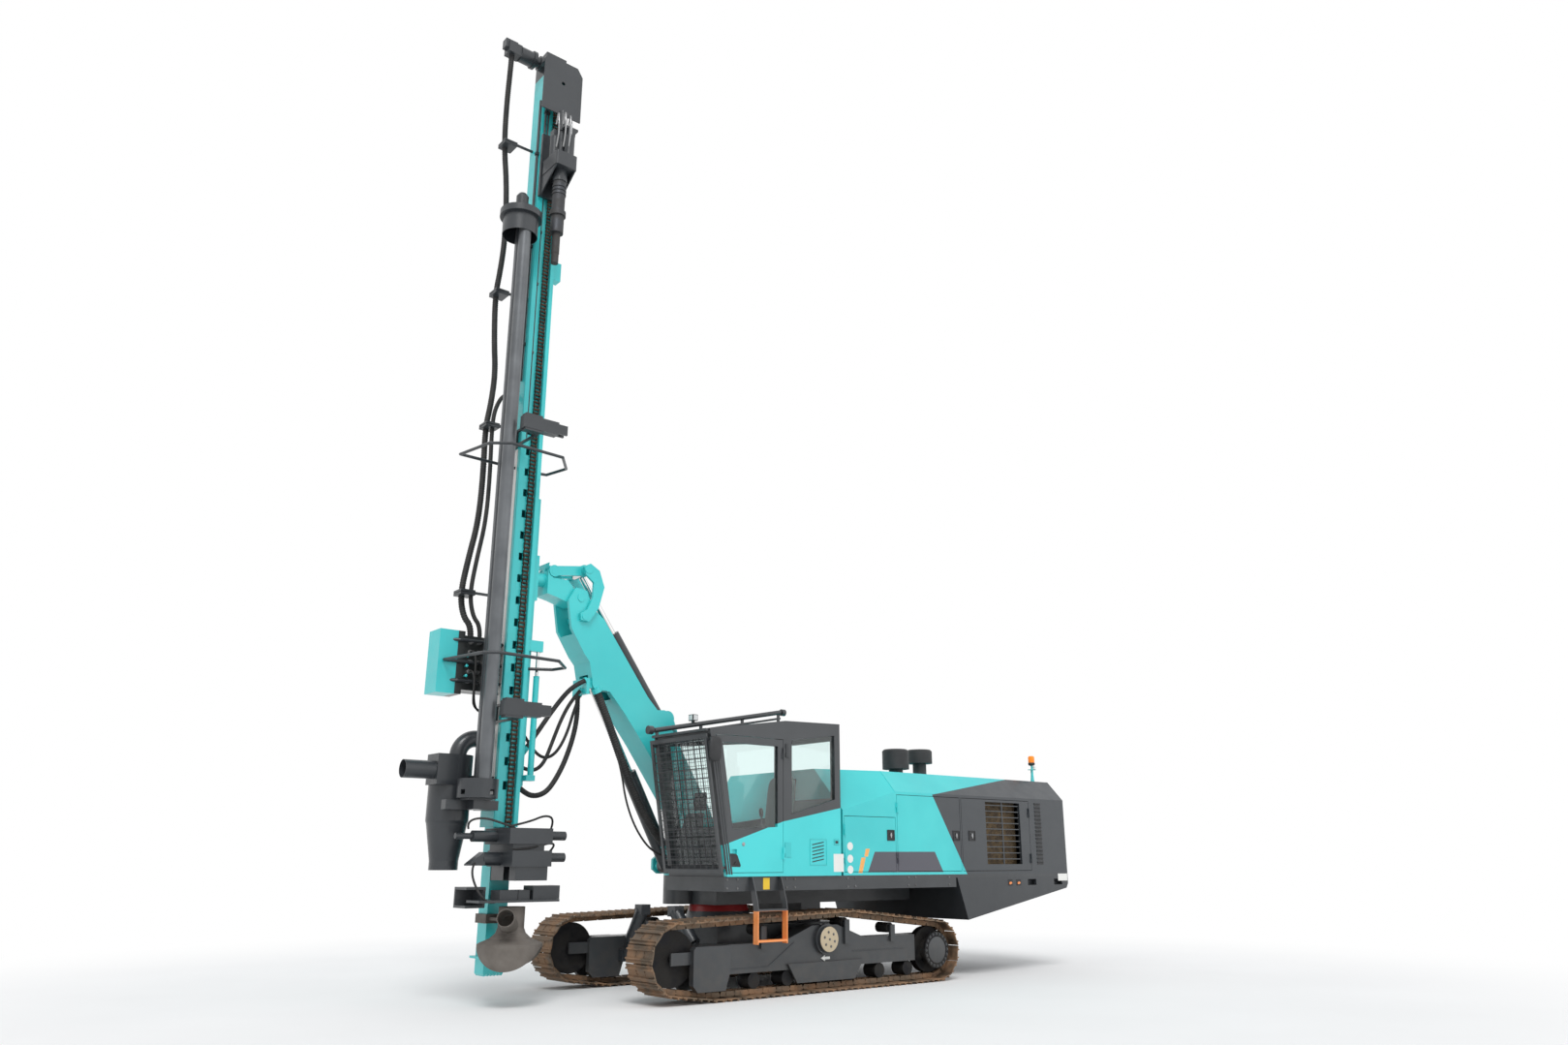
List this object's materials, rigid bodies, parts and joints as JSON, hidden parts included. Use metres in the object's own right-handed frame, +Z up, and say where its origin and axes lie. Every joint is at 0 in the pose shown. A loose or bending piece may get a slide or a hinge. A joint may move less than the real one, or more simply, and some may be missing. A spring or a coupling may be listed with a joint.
{
  "type": "crawler-mounted mast drilling rig",
  "caption": "Crawler drilling rig for piling and blast holes, with a tall chain-fed mast on a folding boom, a rod carousel, a cab and an engine house on two tracks.",
  "frame": {"origin": "on the ground, on the machine's centre plane, below the track frames' hubs", "axes": "+X forward towards the mast, +Y to the left (the cab's side), +Z up"},
  "size_m": [8.906, 2.5923, 11.33],
  "materials": {
    "turquoise": "gloss enamel",
    "frame_paint": "satin enamel, dusty low down",
    "dark_paint": "satin enamel",
    "cab_paint": "satin enamel",
    "track_steel": "worn, light rust on the grousers",
    "machinery": "oiled",
    "rod_steel": "dark, satin",
    "chain_steel": "oiled, brown",
    "chrome": "polished",
    "glass": "clear, faintly green",
    "interior": "grey cloth and plastic",
    "black_plastic": "matt",
    "amber": "translucent amber lens",
    "hose_rubber": "ribbed sleeve",
    "hood_rubber": "dusty"
  },
  "bodies": {
    "chassis": {"track_left": "track_steel", "track_right": "track_steel", "track_wheels_left": "frame_paint", "track_wheels_right": "frame_paint", "track_frame_left": "frame_paint", "track_frame_right": "frame_paint", "carbody": "frame_paint", "main_frame": "frame_paint", "counterweight": "frame_paint", "side_cylinders": "dark_paint", "ladder": "dark_paint", "engine_house": "turquoise", "engine_and_coolers": "machinery", "air_intakes": "black_plastic", "beacon": "amber", "cab_shell": "cab_paint", "cab_glass": "glass", "cab_interior": "interior", "cab_guards": "cab_paint", "service_tank": "turquoise"},
    "house_door_left_front": {"house_door_left_front": "turquoise"},
    "house_door_left_middle": {"house_door_left_middle": "turquoise"},
    "house_door_left_rear": {"house_door_left_rear": "turquoise"},
    "house_door_right_middle": {"house_door_right_middle": "turquoise"},
    "house_door_right_rear": {"house_door_right_rear": "turquoise"},
    "cab_door": {"cab_door": "cab_paint", "cab_door_glass": "glass"},
    "swing_post": {"swing_post": "turquoise", "hose_bundle": "hose_rubber", "hose_thin": "hose_rubber"},
    "lift_barrel": {"lift_cylinder_barrel": "dark_paint"},
    "lift_rod": {"lift_cylinder_rod": "chrome"},
    "boom": {"boom": "turquoise", "hose_upper": "hose_rubber", "hose_middle": "hose_rubber", "hose_inner": "hose_rubber", "hose_lower": "hose_rubber"},
    "tilt_barrel": {"tilt_cylinder_barrel": "dark_paint"},
    "tilt_rod": {"tilt_cylinder_rod": "chrome"},
    "rocker": {"rocker_link": "turquoise"},
    "push_link": {"push_link": "turquoise"},
    "holder": {"holder": "turquoise"},
    "cradle": {"cradle": "turquoise"},
    "mast": {"slide_cylinder_rod": "chrome", "mast": "turquoise", "feed_chain": "chain_steel", "mast_head": "dark_paint", "carousel_frame": "dark_paint", "clamp_table": "dark_paint", "centraliser": "dark_paint", "cyclone": "dark_paint", "valve_box": "turquoise", "guard_hoops": "dark_paint", "mast_hoses": "hose_rubber"},
    "drill_head": {"drill_head": "dark_paint"},
    "spindle": {"spindle": "machinery"},
    "carousel": {"carousel_drum": "dark_paint", "drill_rods": "rod_steel"},
    "rod_arms": {"rod_arms": "dark_paint"},
    "dust_hood": {"dust_hood": "hood_rubber"}
  },
  "joints": [
    {"name": "boom_swing", "type": "hinge", "parent": "chassis", "child": "swing_post", "pos_m": [1, -0.25, 1.22], "axis": [0, 0, 1], "range_deg": [-30, 10]},
    {"name": "boom_lift", "type": "hinge", "parent": "swing_post", "child": "boom", "pos_m": [0.8, -0.25, 1.8], "axis": [0, -1, 0], "range_deg": [-35, 6], "deforming": ["hose_bundle", "hose_thin"]},
    {"name": "lift_barrel_turn", "type": "hinge", "parent": "swing_post", "child": "lift_barrel", "pos_m": [1.215, -0.25, 1.33], "axis": [0, -1, 0], "range_deg": [-36, 7]},
    {"name": "lift_rod_slide", "type": "slide", "parent": "lift_barrel", "child": "lift_rod", "axis": [0.4893, 0, 0.8721], "range_m": [-0.46, 0.1]},
    {"name": "mast_tilt", "type": "hinge", "parent": "boom", "child": "holder", "pos_m": [2.631, -0.25, 4.277], "axis": [0, 1, 0], "range_deg": [-105, 10], "deforming": ["hose_upper", "hose_middle", "hose_inner", "hose_lower"]},
    {"name": "rocker_turn", "type": "hinge", "parent": "boom", "child": "rocker", "pos_m": [2.593, -0.25, 4.056], "axis": [0, 1, 0], "range_deg": [-72, 11]},
    {"name": "tilt_barrel_turn", "type": "hinge", "parent": "boom", "child": "tilt_barrel", "pos_m": [1.386, -0.25, 2.997], "axis": [0, 1, 0], "range_deg": [-9, 3]},
    {"name": "tilt_rod_slide", "type": "slide", "parent": "tilt_barrel", "child": "tilt_rod", "axis": [0.5909, 0, 0.8068], "range_m": [-0.65, 0.1]},
    {"name": "push_link_turn", "type": "hinge", "parent": "holder", "child": "push_link", "pos_m": [2.961, -0.25, 4.555], "axis": [0, 1, 0], "range_deg": [-7, 43]},
    {"name": "mast_swing", "type": "hinge", "parent": "holder", "child": "cradle", "pos_m": [3.1, -0.25, 4.45], "axis": [1, 0, 0], "range_deg": [-30, 15]},
    {"name": "mast_slide", "type": "slide", "parent": "cradle", "child": "mast", "axis": [0, 0, 1], "range_m": [-0.25, 0.48]},
    {"name": "head_feed", "type": "slide", "parent": "mast", "child": "drill_head", "axis": [0, 0, 1], "range_m": [-6.4, 0]},
    {"name": "spindle_turn", "type": "hinge", "parent": "drill_head", "child": "spindle", "pos_m": [3.38, 0.19, 8.6], "axis": [0, 0, 1], "continuous": true},
    {"name": "carousel_turn", "type": "hinge", "parent": "mast", "child": "carousel", "pos_m": [3.805, 0.1, 5.4], "axis": [0, 0, 1], "continuous": true},
    {"name": "rod_arms_turn", "type": "hinge", "parent": "mast", "child": "rod_arms", "pos_m": [3.7, 0.43, 2.88], "axis": [0, 0, 1], "range_deg": [0, 37]},
    {"name": "dust_hood_lift", "type": "slide", "parent": "mast", "child": "dust_hood", "axis": [0, 0, 1], "range_m": [-0.25, 0.03]},
    {"name": "cab_door_hinge", "type": "hinge", "parent": "chassis", "child": "cab_door", "pos_m": [0.687, 1.2365, 1.9], "axis": [0, 0, 1], "range_deg": [0, 80]},
    {"name": "house_door_left_front_hinge", "type": "hinge", "parent": "chassis", "child": "house_door_left_front", "pos_m": [-0.259, 1.2115, 1.57], "axis": [0, 0, -1], "range_deg": [0, 100]},
    {"name": "house_door_left_middle_hinge", "type": "hinge", "parent": "chassis", "child": "house_door_left_middle", "pos_m": [-1.132, 1.2115, 1.7], "axis": [0, 0, -1], "range_deg": [0, 100]},
    {"name": "house_door_left_rear_hinge", "type": "hinge", "parent": "chassis", "child": "house_door_left_rear", "pos_m": [-3.659, 1.2115, 1.7], "axis": [0, 0, 1], "range_deg": [0, 100]},
    {"name": "house_door_right_middle_hinge", "type": "hinge", "parent": "chassis", "child": "house_door_right_middle", "pos_m": [-1.132, -1.2115, 1.7], "axis": [0, 0, 1], "range_deg": [0, 100]},
    {"name": "house_door_right_rear_hinge", "type": "hinge", "parent": "chassis", "child": "house_door_right_rear", "pos_m": [-3.659, -1.2115, 1.7], "axis": [0, 0, -1], "range_deg": [0, 100]}
  ],
  "couplings": [
    {"joint": "lift_barrel_turn", "follows": "boom_lift", "ratio": 0.99},
    {"joint": "lift_rod_slide", "follows": "boom_lift", "m_per_rad": 0.617},
    {"joint": "rocker_turn", "follows": "mast_tilt", "ratio": 0.68},
    {"joint": "tilt_barrel_turn", "follows": "mast_tilt", "ratio": 0.072},
    {"joint": "tilt_rod_slide", "follows": "mast_tilt", "m_per_rad": 0.338},
    {"joint": "push_link_turn", "follows": "mast_tilt", "ratio": -0.398}
  ]
}
